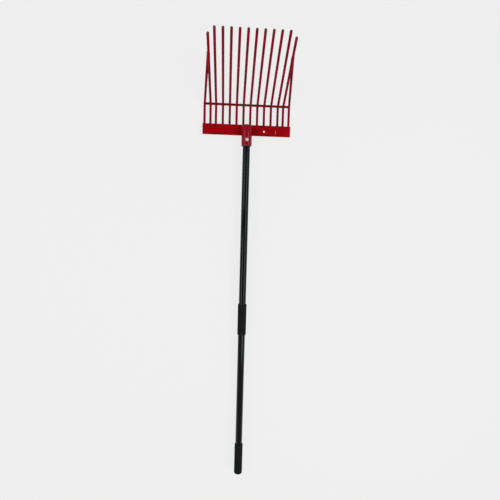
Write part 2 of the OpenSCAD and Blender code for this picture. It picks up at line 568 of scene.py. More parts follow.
@dataclass(frozen=True)
class RedCoat(Finish):
    """Red powder coat with a fine orange peel, thin along edges.

    Attributes:
        tint: factor on each channel of the record's colour; it is painted shade on the rods and painted
            reflection on the socket.
        gloss: strength of its mirror-like share, where 0.5 is plain gloss paint.
        glint: tint of its reflections.
        rough: its roughness over the sheen's patches.
        pale_streak: place of one short pale streak along Y in the part's frame in metres, if it has one.
    """

    slot: ClassVar[Slot] = Slot.RED_PAINT
    tint: Colour
    gloss: float
    glint: Colour = (1.0, 0.22, 0.26)
    rough: Span = Span(to_low=0.30, to_high=0.42)
    pale_streak: Vector | None = None
    cloud: Noise = Noise(34.0, 4.0, 0.55)
    cloud_step: Span = Span(0.34, 0.68)
    cloud_tones: Pair = (0.84, 1.10)
    grain: Noise = Noise(1100.0)
    grain_step: Span = Span(0.45, 0.75, to_high=0.35)
    grain_tone: float = 0.70
    grain_bump: Pair = (0.0002, 0.10)
    peel: Noise = Noise(430.0, 1.0)
    peel_bump: Pair = (0.0004, 0.16)
    sheen: Noise = Noise(55.0, 3.0)
    wear: Noise = Noise(260.0, 5.0, 0.62)
    wear_step: Span = Span(0.41, 0.55)
    wear_rough: Span = Span(0.0, 1.0, to_high=0.6)
    bare_steel: Colour = (0.055, 0.040, 0.038)
    streak_colour: Colour = (0.42, 0.20, 0.19)
    streak_fades: tuple[Span, Span] = (Span(0.0011, 0.0004), Span(0.0085, 0.0055))
    streak_breakup: Noise = Noise(420.0, 3.0)
    streak_step: Span = Span(0.30, 0.55, 0.25, 0.75)

    def paint(self, bench: NodeBench) -> None:
        """Builds the coat's nodes.

        Args:
            bench: the bench that holds them.
        """
        base = tinted(self.colour, self.tint)
        grain = bench.noise(self.grain)
        wear = bench.worn(self.wear, self.wear_step)
        colour = bench.tones(bench.span(bench.noise(self.cloud), self.cloud_step), base, self.cloud_tones)
        colour = bench.blend(bench.span(grain, self.grain_step), colour, scaled(base, self.grain_tone))
        colour = bench.blend(wear, colour, self.bare_steel)
        # Lays one short pale streak along Y on the bar's front, fading out at its ends and sides.
        if self.pale_streak is not None:
            colour = bench.blend(self.pale_streak_share(bench), colour, self.streak_colour)
        sheen = bench.span(bench.noise(self.sheen), self.rough)
        bench.shade(
            (bench.noise(self.peel), self.peel_bump),
            (grain, self.grain_bump),
            Base_Color=colour,
            Roughness=bench.calc("MAXIMUM", sheen, bench.span(wear, self.wear_rough)),
            Specular_IOR_Level=self.gloss,
            Specular_Tint=self.glint,
        )

    def pale_streak_share(self, bench: NodeBench) -> bpy.types.NodeSocket:
        """Gives the share of the pale streak, which fades out across and along it and stays on the front.

        Args:
            bench: the bench that holds the nodes.

        Returns:
            The share.
        """
        fades = []
        for axis, middle, fade in zip("XY", self.pale_streak, self.streak_fades):
            away = bench.calc("ABSOLUTE", bench.calc("SUBTRACT", bench.along(axis), middle))
            fades.append(bench.span(away, fade))
        front = bench.calc("GREATER_THAN", bench.along("Z"), self.pale_streak.z - MM)
        line = bench.calc("MULTIPLY", bench.calc("MULTIPLY", *fades), front)
        return bench.calc("MULTIPLY", line, bench.span(bench.noise(self.streak_breakup), self.streak_step))


@dataclass(frozen=True)
class BlackPaint(Finish):
    """Black paint on the tube, polished by hands along its length."""

    slot: ClassVar[Slot] = Slot.BLACK_PAINT
    gloss: float = 0.20
    glint: Colour = (0.80, 0.98, 1.0)
    cloud: Noise = Noise(26.0, 3.0)
    cloud_step: Span = Span(0.32, 0.70)
    cloud_tones: Pair = (0.10, 0.22)
    drawn: Noise = Noise(1.0, 4.0, 0.6, (420.0, 5.0, 420.0))
    drawn_bump: Pair = (0.0002, 0.03)
    polish: Span = Span(0.30, 0.72, 0.10, 0.19)
    scuffs: Noise = Noise(1.0, 6.0, 0.7, (900.0, 60.0, 900.0))
    streak_step: Span = Span(0.66, 0.74, to_high=0.30)
    streak_colour: Colour = (0.012, 0.015, 0.015)
    scuff_rough: float = 0.4
    peel: Noise = Noise(380.0, 1.0)
    peel_bump: Pair = (0.0004, 0.05)

    def paint(self, bench: NodeBench) -> None:
        """Builds the paint's nodes.

        Args:
            bench: the bench that holds them.
        """
        drawn = bench.noise(self.drawn)
        scuffs = bench.span(bench.noise(self.scuffs), self.streak_step)
        cloud = bench.span(bench.noise(self.cloud), self.cloud_step)
        colour = bench.tones(cloud, self.colour, self.cloud_tones)
        dull = bench.calc("MULTIPLY", scuffs, self.scuff_rough)
        bench.shade(
            (bench.noise(self.peel), self.peel_bump),
            (drawn, self.drawn_bump),
            Base_Color=bench.blend(scuffs, colour, self.streak_colour),
            Roughness=bench.calc("ADD", bench.span(drawn, self.polish), dull),
            Specular_IOR_Level=self.gloss,
            Specular_Tint=self.glint,
        )


@dataclass(frozen=True)
class GripRubber(Finish):
    """Matte moulded rubber with a fine pebble and a faint bloom."""

    slot: ClassVar[Slot] = Slot.GRIP_RUBBER
    tint: Colour = (0.80, 1.0, 1.03)
    gloss: float = 0.03
    rough: Span = Span(to_low=0.52, to_high=0.68)
    cloud: Noise = Noise(22.0, 4.0, 0.6)
    cloud_step: Span = Span()
    cloud_tones: Pair = (0.46, 0.80)
    bloom: Noise = Noise(70.0, 5.0, 0.65)
    bloom_step: Span = Span(0.48, 0.72, to_high=0.30)
    bloom_colour: Colour = (0.012, 0.016, 0.017)
    wear: Noise = Noise(180.0, 5.0, 0.62)
    wear_step: Span = Span(0.345, 0.485)
    wear_colour: Colour = (0.022, 0.026, 0.026)
    pebble_scale: float = 900.0
    pebble_smoothness: float = 0.35
    pebble_bump: Pair = (0.0003, 0.60)
    fine: Noise = Noise(2600.0)
    fine_bump: Pair = (0.0001, 0.25)

    def paint(self, bench: NodeBench) -> None:
        """Builds the rubber's nodes.

        Args:
            bench: the bench that holds them.
        """
        base = tinted(self.colour, self.tint)
        cloud = bench.noise(self.cloud)
        bloom = bench.span(bench.noise(self.bloom), self.bloom_step)
        colour = bench.tones(bench.span(cloud, self.cloud_step), base, self.cloud_tones)
        colour = bench.blend(bloom, colour, self.bloom_colour)
        colour = bench.blend(bench.worn(self.wear, self.wear_step), colour, self.wear_colour)
        bench.shade(
            (bench.cells(self.pebble_scale, self.pebble_smoothness), self.pebble_bump),
            (bench.noise(self.fine), self.fine_bump),
            Base_Color=colour,
            Roughness=bench.span(cloud, self.rough),
            Specular_IOR_Level=self.gloss,
        )


@dataclass(frozen=True)
class BrightZinc(Finish):
    """Bright zinc plate with faint clouds and spangles.

    Attributes:
        tone: factor on the record's colour, where 1 is fresh plate.
    """

    slot: ClassVar[Slot] = Slot.ZINC
    tone: float
    rough: Span = Span(to_low=0.48, to_high=0.62)
    cloud: Noise = Noise(240.0, 4.0, 0.6)
    cloud_step: Span = Span(0.35, 0.68)
    cloud_tones: Pair = (0.86, 1.08)
    spangle: Noise = Noise(900.0, 3.0)
    spangle_step: Span = Span(0.55, 0.75, to_high=0.25)
    spangle_tone: float = 0.66
    spangle_bump: Pair = (0.0001, 0.20)

    def paint(self, bench: NodeBench) -> None:
        """Builds the plate's nodes.

        Args:
            bench: the bench that holds them.
        """
        base = scaled(self.colour, self.tone)
        cloud = bench.noise(self.cloud)
        spangle = bench.noise(self.spangle)
        colour = bench.tones(bench.span(cloud, self.cloud_step), base, self.cloud_tones)
        dark = scaled(base, self.spangle_tone)
        bench.shade(
            (spangle, self.spangle_bump),
            Base_Color=bench.blend(bench.span(spangle, self.spangle_step), colour, dark),
            Roughness=bench.span(cloud, self.rough),
            Metallic=1.0,
        )


@dataclass(frozen=True)
class WeldBead:
    """A rippled weld bead along Y.

    Attributes:
        length: length of the run.
        width: width across the run.
        height: thickness of the run.
        pitch: distance between its ripples.
        depth: depth of the ripples as a share of the width.
        bluntness: how full its ends are.
        least: size of its very ends against its full size.
        step: distance between its rings.
        sides: faces round it.
    """

    length: float
    width: float
    height: float
    pitch: float = 1.9
    depth: float = 0.16
    bluntness: int = 5
    least: float = 0.04
    step: float = 0.4
    sides: int = 12

    def girth(self, place: float) -> float:
        """Gives the bead's size at a place along it, against its full size.

        Args:
            place: share of the length, from 0 to 1.

        Returns:
            The size, from the least at the ends to 1 on a ripple's crest.
        """
        end = math.sqrt(max(0.0, 1.0 - abs(2.0 * place - 1.0) ** self.bluntness))
        ripple = abs(math.sin(math.pi * place * self.length / self.pitch))
        return max(self.least, end * (1.0 - self.depth + self.depth * ripple))

    def add(self, shape: BMesh, place: Matrix) -> None:
        """Adds the bead to a shape.

        Args:
            shape: the shape that receives it.
            place: matrix from the bead's middle to the shape.
        """
        bead = new_shape()
        steps = round(self.length / self.step)
        first = bmesh.ops.create_circle(
            bead, cap_ends=False, segments=self.sides, radius=self.width / 2 * self.girth(0.0),
            matrix=shift(0.0, -self.length / 2, 0.0) @ turn(QUARTER, "X"),
        )["verts"]
        rim = bead.edges[:]
        for index in range(1, steps + 1):
            ratio = self.girth(index / steps) / self.girth((index - 1) / steps)
            last, rim = grow(bead, rim, Vector((0.0, self.length / steps, 0.0)), ratio)
        close_ring(bead, first)
        close_ring(bead, last)
        bmesh.ops.scale(bead, vec=(1.0, 1.0, self.height / self.width), verts=bead.verts)
        absorb(shape, placed(bead, place))


@dataclass(frozen=True)
class BentRod:
    """A round rod that laps the bar along Y, bends up and ends in a round tip.

    Attributes:
        diameter: diameter of the rod.
        lap: length on the back of the bar.
        throat: distance from the bar's top edge to the corner of the bend.
        angle: angle of the bend.
        bend_radius: radius of the bend on the rod's centre line.
        reach: length from the corner of the bend to the tip.
        end_bevel: bevel of the end on the bar.
        tip_rub: length below the round tip where the coat wears.
        tip_least: size of the tip's last ring against the rod.
    """

    diameter: float
    lap: float
    throat: float
    angle: float
    bend_radius: float
    reach: float
    end_bevel: float = 0.5
    tip_rub: float = 6.0
    tip_least: float = 0.01
    sides: int = 28
    bend_steps: int = 14
    tip_steps: int = 6

    def build(self) -> BMesh:
        """Draws the rod from its end on the bar to its tip.

        Returns:
            The rod, with the bar's top edge at Y zero and its axis at X and Z zero.
        """
        shape = new_shape()
        radius = self.diameter / 2
        bevel = self.end_bevel
        tangent = self.bend_radius * math.tan(self.angle / 2)
        straight = self.throat - tangent
        bmesh.ops.create_circle(
            shape, cap_ends=True, segments=self.sides, radius=radius - bevel,
            matrix=shift(0.0, -self.lap, 0.0) @ turn(QUARTER, "X"),
        )
        _, rim = grow(shape, shape.edges[:], Vector((0.0, bevel, 0.0)), radius / (radius - bevel))
        verts, rim = grow(shape, rim, Vector((0.0, self.lap - bevel + straight, 0.0)))
        rim = edges_of(bmesh.ops.spin(
            shape, geom=verts + rim, cent=(0.0, straight, self.bend_radius), axis=(1.0, 0.0, 0.0),
            dvec=(0.0, 0.0, 0.0), angle=self.angle, steps=self.bend_steps, use_merge=False,
            use_duplicate=False,
        )["geom_last"])
        way = Vector((0.0, math.cos(self.angle), math.sin(self.angle)))
        _, rim = grow(shape, rim, way * (self.reach - radius - tangent - self.tip_rub))
        verts, rim = grow(shape, rim, way * self.tip_rub)
        mark_wear(shape, verts)
        step = QUARTER / self.tip_steps
        for index in range(1, self.tip_steps + 1):
            rise = radius * (math.sin(index * step) - math.sin((index - 1) * step))
            shrink = max(self.tip_least, math.cos(index * step)) / math.cos((index - 1) * step)
            verts, rim = grow(shape, rim, way * rise, shrink)
            mark_wear(shape, verts)
        close_ring(shape, verts)
        return shape


@dataclass(frozen=True)
class BackBar:
    """The flat bar that carries the tines and the socket."""

    width: float = 302.6
    height: float = 36.0
    thickness: float = 5.0
    corner_radius: float = 2.0
    corner_steps: int = 5
    edge_round: float = 0.8
    edge_steps: int = 4
    hole_x: float = 60.0
    hole_drop: float = 20.5
    hole_radius: float = 3.25
    hole_cell: float = 7.0
    hole_steps: int = 8
    streak_x: float = 100.0
    streak_drop: float = 22.0

    def build(self) -> BMesh:
        """Makes the bar from one face, with a ring of faces round its hole.

        Returns:
            The bar.
        """
        shape = new_shape()
        bmesh.ops.create_grid(shape, x_segments=1, y_segments=1, size=0.5)
        bmesh.ops.scale(shape, vec=(self.width, self.height, 1.0), verts=shape.verts)
        bmesh.ops.translate(shape, vec=(0.0, -self.height / 2, 0.0), verts=shape.verts)
        bmesh.ops.bevel(
            shape, geom=shape.verts[:], offset=self.corner_radius, segments=self.corner_steps,
            profile=0.5, affect="VERTICES", material=-1,
        )
        self.open_hole(shape)
        made = bmesh.ops.extrude_face_region(shape, geom=shape.faces[:])["geom"]
        bmesh.ops.translate(shape, vec=(0.0, 0.0, -self.thickness), verts=verts_of(made))
        bmesh.ops.recalc_face_normals(shape, faces=shape.faces)
        rims = [edge for edge in shape.edges if edge.calc_face_angle(0.0) > CREASE_ANGLE]
        strips = set(bmesh.ops.bevel(
            shape, geom=rims, offset=self.edge_round, segments=self.edge_steps, profile=0.5,
            affect="EDGES", material=-1,
        )["faces"])
        mark_wear(shape, [vert for vert in shape.verts if strips.issuperset(vert.link_faces)])
        return shape

    def open_hole(self, shape: BMesh) -> None:
        """Cuts a square cell round the hole and bridges it to the hole's rim.

        Args:
            shape: the flat bar.
        """
        middle = Vector((self.hole_x, -self.hole_drop, 0.0))
        for axis in (Vector((1.0, 0.0, 0.0)), Vector((0.0, 1.0, 0.0))):
            for way in (-1.0, 1.0):
                bmesh.ops.bisect_plane(
                    shape, geom=shape.verts[:] + shape.edges[:] + shape.faces[:], dist=MERGE_GAP,
                    plane_co=middle + axis * way * self.hole_cell, plane_no=axis,
                )
        cell = min(shape.faces, key=lambda face: (face.calc_center_median() - middle).length)
        sides = list(cell.edges)
        bmesh.ops.delete(shape, geom=[cell], context="FACES_ONLY")
        outer = edges_of(bmesh.ops.subdivide_edges(
            shape, edges=sides, cuts=self.hole_steps - 1
        )["geom_split"])
        ring = bmesh.ops.create_circle(
            shape, cap_ends=False, segments=len(sides) * self.hole_steps, radius=self.hole_radius,
            matrix=Matrix.Translation(middle) @ turn(QUARTER / 2, "Z"),
        )["verts"]
        inner = list({edge for vert in ring for edge in vert.link_edges})
        bmesh.ops.bridge_loops(shape, edges=outer + inner)

    def pale_streak_place(self) -> Vector:
        """Gives the place of the bar's one pale streak in the part's frame in metres."""
        return to_part() @ Vector((self.streak_x, -self.streak_drop, 0.0))

    def dress(self, coat: Finish) -> None:
        """Adds the finished bar."""
        finish_piece(self.build(), "flat_bar", coat, "back_bar")


@dataclass(frozen=True)
class TineHead:
    """The bent tines, the cross rod behind them and the braces at their sides.

    Attributes:
        bar: the bar that carries them.
        sink: how far a weld sinks one piece into the other.
        bar_bead_out: distance of a bead on the bar from its rod's axis, as a share of the diameter.
        rod_bead_out: the same for a bead between two rods.
    """

    bar: BackBar
    count: int = 12
    diameter: float = 8.0
    pitch: float = 23.6
    edge_pitch: float = 18.7
    lap: float = 12.0
    throat: float = 65.5
    bend: float = math.radians(60.0)
    bend_radius: float = 13.0
    reach: float = 282.0
    edge_cut: float = 19.0
    sink: float = 0.7
    cross_diameter: float = 8.0
    cross_overhang: float = 2.0
    cross_round: float = 0.6
    cross_sides: int = 28
    brace_pitch: float = 20.2
    brace_stop: float = 67.0
    brace_aside: float = 1.6
    bar_bead: WeldBead = WeldBead(length=10.8, width=3.6, height=3.4)
    bar_bead_out: float = 0.46
    cross_bead: WeldBead = WeldBead(length=5.4, width=2.6, height=2.6)
    tip_bead: WeldBead = WeldBead(length=18.0, width=3.4, height=3.4)
    rod_bead_out: float = 0.42

    @property
    def rod_z(self) -> float:
        """Height of a rod's axis on the back of the bar."""
        return self.sink - self.bar.thickness - self.diameter / 2

    @property
    def edge_x(self) -> float:
        """Place of the outermost tine along the bar."""
        return (self.count - 3) / 2 * self.pitch + self.edge_pitch

    @property
    def brace_x(self) -> float:
        """Place of a brace along the bar."""
        return self.edge_x + self.brace_pitch

    @property
    def brace_offset(self) -> float:
        """Distance of a brace's upper end behind the middle of the outermost tine."""
        return math.sqrt((self.diameter - self.sink) ** 2 - self.brace_aside ** 2)

    @property
    def numbers(self) -> range:
        """Numbers of the tines, from 1 at the left."""
        return range(1, self.count + 1)

    def tine_x(self, number: int) -> float:
        """Gives the place of a tine along the bar.

        Args:
            number: number of the tine.

        Returns:
            Its X.
        """
        if number in (1, self.count):
            return math.copysign(self.edge_x, number - 2)
        return (number - (self.count + 1) / 2) * self.pitch

    def build_rod(self, x: float, angle: float, reach: float, roll: float = 0.0) -> BMesh:
        """Makes a bent rod with the weld beads that hold it to the back of the bar.

        Args:
            x: its place along the bar.
            angle: angle of its bend.
            reach: length from the corner of the bend to the tip.
            roll: turn of the rod about its lap on the bar.

        Returns:
            The rod.
        """
        rod = BentRod(self.diameter, self.lap, self.throat, angle, self.bend_radius, reach)
        shape = placed(rod.build(), shift(x, 0.0, self.rod_z) @ turn(roll, "Y"))
        for side in Side:
            out = x + side.value * self.bar_bead_out * self.diameter
            self.bar_bead.add(shape, shift(out, -self.lap / 2, -self.bar.thickness - self.sink))
        return shape

    def build_tine(self, number: int) -> BMesh:
        """Makes one tine, which is shorter at the sides of the head."""
        reach = self.reach - (self.edge_cut if number in (1, self.count) else 0.0)
        return self.build_rod(self.tine_x(number), self.bend, reach)

    def build_cross_rod(self) -> BMesh:
        """Makes the cross rod, nested in the outside of the bends, with the small welds at each tine.

        Returns:
            The cross rod.
        """
        radius = self.cross_diameter / 2
        length = 2 * (self.brace_x + self.cross_overhang)
        shape = turned(
            [(0.0, 0.0), (radius, 0.0), (radius, length), (0.0, length)],
            (0.0, self.cross_round, self.cross_round), self.cross_sides,
        )
        half = self.bend / 2
        out = self.bend_radius + (self.diameter + self.cross_diameter) / 2 - self.sink
        start = self.throat - self.bend_radius * math.tan(half)
        height = self.rod_z + self.bend_radius - out * math.cos(half)
        middle = shift(0.0, start + out * math.sin(half), height)
        placed(shape, middle @ shift(-length / 2, 0.0, 0.0) @ turn(QUARTER, "Y"))
        for number in self.numbers:
            for side in Side:
                x = self.tine_x(number) + side.value * self.rod_bead_out * self.diameter
                self.cross_bead.add(shape, middle @ turn(half, "X") @ shift(x, 0.0, radius))
        return shape

    def build_brace(self, side: Side) -> BMesh:
        """Makes one brace, from the bar to the back of the outermost tine.

        Args:
            side: the side of the fork.

        Returns:
            The brace with its welds.
        """
        lean = turn(self.bend, "X")
        up = self.reach - self.edge_cut - self.brace_stop
        way = lean @ Vector((self.brace_pitch - self.brace_aside, up, -self.brace_offset))
        angle = math.acos(way.y / way.length)
        roll = math.atan2(way.x, way.z) * -side.value
        shape = self.build_rod(side.value * self.brace_x, angle, way.length + self.diameter / 2, roll)
        corner = shift(side.value * self.edge_x, self.throat, self.rod_z) @ lean
        for across in Side:
            out = side.value * self.brace_aside / 2 + across.value * self.rod_bead_out * self.diameter
            self.tip_bead.add(shape, corner @ shift(out, up - self.diameter, -self.brace_offset / 2))
        return shape

    def dress(self, coat: Finish) -> None:
        """Adds the finished tines, cross rod and braces.

        Args:
            coat: the finish of the rods.
        """
        for number in self.numbers:
            finish_piece(self.build_tine(number), f"bent_tine_{number:02d}", coat, f"tine_{number:02d}")
        finish_piece(self.build_cross_rod(), "tie_rod", coat, "cross_rod")
        for side in Side:
            name = side.name.lower()
            finish_piece(self.build_brace(side), f"brace_rod_{name}", coat, f"{name}_brace")


@dataclass(frozen=True)
class HandleSocket:
    """The socket tube on the bar, its domed cap and the welds beside it.

    Attributes:
        fit: gap between tube and socket.
        flat: how far the socket's back is cut flat to sit on the bar.
        drop: distance from the bar's top edge down to the socket's upper end.
        rounds: rounding of the corners of the socket's section.
        overshoot: how far the tool that cuts the bolt's hole stands out.
    """

    tube_radius: float = 12.5
    fit: float = 0.15
    wall: float = 5.1
    flat: float = 1.6
    drop: float = 8.0
    length: float = 68.0
    mouth_bevel: float = 3.3
    rounds: tuple[float, ...] = (0.2, 0.5, 0.9, 0.6, 0.35)
    sides: int = 112
    cap_rim: float = 1.5
    cap_rise: float = 4.5
    cap_edge_round: float = 0.9
    cap_foot_round: float = 0.4
    cap_steps: int = 12
    weld_radius: float = 4.5
    weld_start: float = 10.0
    weld_length: float = 24.0
    weld_pitch: float = 2.6
    weld_depth: float = 0.10
    bolt_at: float = 47.5
    bolt_hole: float = 3.25
    bolt_sides: int = 64
    seat_radius: float = 6.2
    overshoot: float = 2.0

    @property
    def bore(self) -> float:
        """Radius inside."""
        return self.tube_radius + self.fit

    @property
    def radius(self) -> float:
        """Radius outside."""
        return self.bore + self.wall

    @property
    def axis_z(self) -> float:
        """Height of the handle's axis above the front of the bar."""
        return self.radius - self.flat

    @property
    def mouth(self) -> float:
        """Distance from the bar's top edge down to the socket's mouth."""
        return self.drop + self.length

    @property
    def seat_out(self) -> float:
        """Distance of the washers' flat seats from the axis, to a thousandth."""
        return round(math.sqrt(self.radius ** 2 - self.seat_radius ** 2), DIGITS)

    @property
    def bolt_place(self) -> Matrix:
        """Matrix from the middle of the bolt to the fork."""
        return shift(0.0, -self.drop - self.bolt_at, self.axis_z)

    def lay(self, shape: BMesh, at: float) -> BMesh:
        """Lays a turned shape along the handle, from a place below the bar's top edge."""
        return placed(shape, shift(0.0, -at, self.axis_z) @ turn(QUARTER, "X"))

    def build_socket(self) -> BMesh:
        """Makes the socket with its bevelled mouth, bolt hole and washer seats.

        Returns:
            The socket.
        """
        bevel_at = self.length - self.mouth_bevel
        shape = turned(
            [
                (self.bore, 0.0), (self.radius, 0.0), (self.radius, bevel_at),
                (self.radius - self.mouth_bevel, self.length), (self.bore, self.length),
            ],
            self.rounds, self.sides,
        )
        hole, wide = self.bolt_hole, self.seat_radius
        seat, over = self.seat_out, self.radius + self.overshoot
        tool = turned([
            (0.0, -over), (wide, -over), (wide, -seat), (hole, -seat),
            (hole, seat), (wide, seat), (wide, over), (0.0, over),
        ], steps=self.bolt_sides)
        placed(tool, shift(0.0, 0.0, self.bolt_at) @ turn(QUARTER, "X"))
        shape = combine(shape, tool, Cut.AWAY)
        mark_wear(shape, [vert for vert in shape.verts if vert.co.z > bevel_at])
        return self.lay(shape, self.drop)

    def build_cap(self) -> BMesh:
        """Makes the domed cap that closes the socket's upper end.

        Returns:
            The cap.
        """
        shape = new_shape()
        dome = (self.radius ** 2 + self.cap_rise ** 2) / (2 * self.cap_rise)
        pole = shape.verts.new((0.0, 0.0, 0.0))
        bmesh.ops.spin(
            shape, geom=[pole], cent=(0.0, 0.0, dome), axis=(0.0, 1.0, 0.0), dvec=(0.0, 0.0, 0.0),
            angle=-math.asin(self.radius / dome), steps=self.cap_steps, use_merge=False,
            use_duplicate=False,
        )
        edge = max(shape.verts, key=lambda vert: vert.co.x)
        height = self.cap_rise + self.cap_rim
        foot = shape.verts.new((self.radius, 0.0, height))
        shape.edges.new((edge, foot))
        shape.edges.new((foot, shape.verts.new((0.0, 0.0, height))))
        round_corner(shape, edge, self.cap_edge_round)
        round_corner(shape, foot, self.cap_foot_round)
        return self.lay(spun(shape, self.sides), self.drop - height)

    def build_welds(self) -> BMesh:
        """Makes the two weld beads between the socket and the bar.

        Returns:
            Both beads.
        """
        shape = new_shape()
        width = 2 * self.weld_radius
        bead = WeldBead(self.weld_length, width, width, self.weld_pitch, self.weld_depth)
        out = round(math.sqrt(self.radius ** 2 - self.axis_z ** 2) + self.weld_radius / 2, DIGITS)
        middle = -self.weld_start - self.weld_length / 2
        for side in Side:
            bead.add(shape, shift(side.value * out, middle, 0.0))
        return shape

    def dress(self, coat: Finish) -> None:
        """Adds the finished socket, cap and welds.

        Args:
            coat: their finish.
        """
        finish_piece(self.build_socket(), "socket_sleeve", coat, "socket")
        finish_piece(self.build_cap(), "socket_dome", coat, "socket_cap")
        finish_piece(self.build_welds(), "socket_beads", coat, "socket_welds")


@dataclass(frozen=True)
class SocketBolt:
    """The bolt through socket and tube with its washers and nut, made along Z.

    Attributes:
        socket: the socket that it goes through.
        flats: width across the flats of head and nut.
        nut_fit: gap between nut and bolt.
        nut_rim: chamfer of the nut's bore.
        stickout: length of the bolt past the nut.
        thread_flank: height of each flank of the thread's ridge.
        thread_crest: height of the ridge's flat crest.
        overlap: how far pieces of the bolt reach into each other.
        overshoot: how far the tool that bores the nut stands out.
        chamfer_share: width of the flat top of head and nut against the flats.
    """

    socket: HandleSocket
    radius: float = 3.0
    flats: float = 10.0
    head_height: float = 4.0
    nut_height: float = 5.0
    nut_fit: float = 0.08
    nut_rim: float = 0.45
    stickout: float = 2.0
    end_chamfer: float = 0.5
    end_round: float = 0.1
    shank_sides: int = 48
    washer_bore: float = 3.1
    washer_radius: float = 6.0
    washer_thickness: float = 1.6
    washer_rounds: tuple[float, ...] = (0.15, 0.3, 0.45, 0.15)
    washer_sides: int = 64
    thread_core: float = 2.45
    thread_pitch: float = 1.0
    thread_flank: float = 0.4
    thread_crest: float = 0.1
    thread_start: float = 0.3
    thread_turns: int = 6
    thread_steps: int = 28
    overlap: float = 0.1
    overshoot: float = 0.5
    chamfer_angle: float = math.radians(30.0)
    chamfer_share: float = 0.95
    chamfer_sides: int = 72

    @property
    def head_out(self) -> float:
        """Distance from the axis to the underside of the head and the nut."""
        return self.socket.seat_out + self.washer_thickness

    def hexagon(self, height: float) -> BMesh:
        """Makes a hexagon from Z zero to its height, chamfered at the top.

        Args:
            height: height of the hexagon.

        Returns:
            The hexagon.
        """
        shape, cone = new_shape(), new_shape()
        twelfth = TURN / 12
        corner = self.flats / 2 / math.cos(twelfth)
        bmesh.ops.create_cone(
            shape, cap_ends=True, cap_tris=False, segments=6, radius1=corner, radius2=corner,
            depth=height, matrix=shift(0.0, 0.0, height / 2) @ turn(twelfth, "Z"),
        )
        top = self.flats / 2 * self.chamfer_share
        depth = 2 * height
        bmesh.ops.create_cone(
            cone, cap_ends=True, cap_tris=False, segments=self.chamfer_sides,
            radius1=top + depth / math.tan(self.chamfer_angle), radius2=top, depth=depth,
        )
        return combine(shape, cone, Cut.COMMON)

    def thread(self) -> BMesh:
        """Winds the thread's ridge upwards from Z zero.

        Returns:
            The ridge.
        """
        shape = new_shape()
        foot, crest = self.thread_core - self.overlap, self.radius
        flank = self.thread_flank
        top = flank + self.thread_crest
        section = ((foot, 0.0), (crest, flank), (crest, top), (foot, top + flank))
        shape.faces.new([shape.verts.new((radius, 0.0, height)) for radius, height in section])
        bmesh.ops.spin(
            shape, geom=shape.verts[:] + shape.edges[:] + shape.faces[:], cent=(0.0, 0.0, 0.0),
            axis=(0.0, 0.0, 1.0), dvec=(0.0, 0.0, self.thread_pitch / self.thread_steps),
            angle=TURN * self.thread_turns, steps=self.thread_turns * self.thread_steps,
            use_merge=False, use_duplicate=False,
        )
        return shape

    def build_bolt(self) -> BMesh:
        """Makes the bolt: head, shank and threaded end.

        Returns:
            The bolt.
        """
        shape = placed(self.hexagon(self.head_height), shift(0.0, 0.0, self.head_out))
        end = -(self.head_out + self.nut_height + self.stickout)
        core, seat, top = self.thread_core, self.socket.seat_out, self.head_out + self.overlap
        absorb(shape, turned(
            [
                (0.0, end), (core - self.end_chamfer, end), (core, end + self.end_chamfer),
                (core, -seat), (self.radius, -seat), (self.radius, top), (0.0, top),
            ],
            (0.0, self.end_round, self.end_round), self.shank_sides,
        ))
        absorb(shape, placed(self.thread(), shift(0.0, 0.0, end + self.thread_start)))
        return placed(shape, self.socket.bolt_place)

    def build_nut(self) -> BMesh:
        """Makes the nut, chamfered on both faces and bored through.

        Returns:
            The nut.
        """
        height, over = self.nut_height, self.overshoot
        bore, rim = self.radius + self.nut_fit, self.nut_rim
        flip = shift(0.0, 0.0, height) @ turn(TURN / 2, "X")
        shape = combine(self.hexagon(height), placed(self.hexagon(height), flip), Cut.COMMON)
        wide = bore + rim + over
        tool = turned([
            (0.0, -over), (wide, -over), (bore, rim), (bore, height - rim),
            (wide, height + over), (0.0, height + over),
        ], steps=self.shank_sides)
        below = shift(0.0, 0.0, -self.head_out - height)
        return placed(combine(shape, tool, Cut.AWAY), self.socket.bolt_place @ below)

    def build_washers(self) -> BMesh:
        """Makes the washers under the head and the nut.

        Returns:
            Both washers.
        """
        shape = new_shape()
        bore, radius = self.washer_bore, self.washer_radius
        for low in (self.socket.seat_out, -self.head_out):
            high = low + self.washer_thickness
            section = [(bore, low), (radius, low), (radius, high), (bore, high)]
            absorb(shape, turned(section, self.washer_rounds, self.washer_sides))
        return placed(shape, self.socket.bolt_place)

    def dress(self, plate: Finish, dull_plate: Finish) -> None:
        """Adds the finished bolt, nut and washers.

        Args:
            plate: finish of the bolt and the nut.
            dull_plate: finish of the washers.
        """
        finish_piece(self.build_bolt(), "hex_bolt", plate, "socket_bolt")
        finish_piece(self.build_nut(), "hex_nut", plate, "socket_nut")
        finish_piece(self.build_washers(), "flat_washers", dull_plate, "bolt_washers")


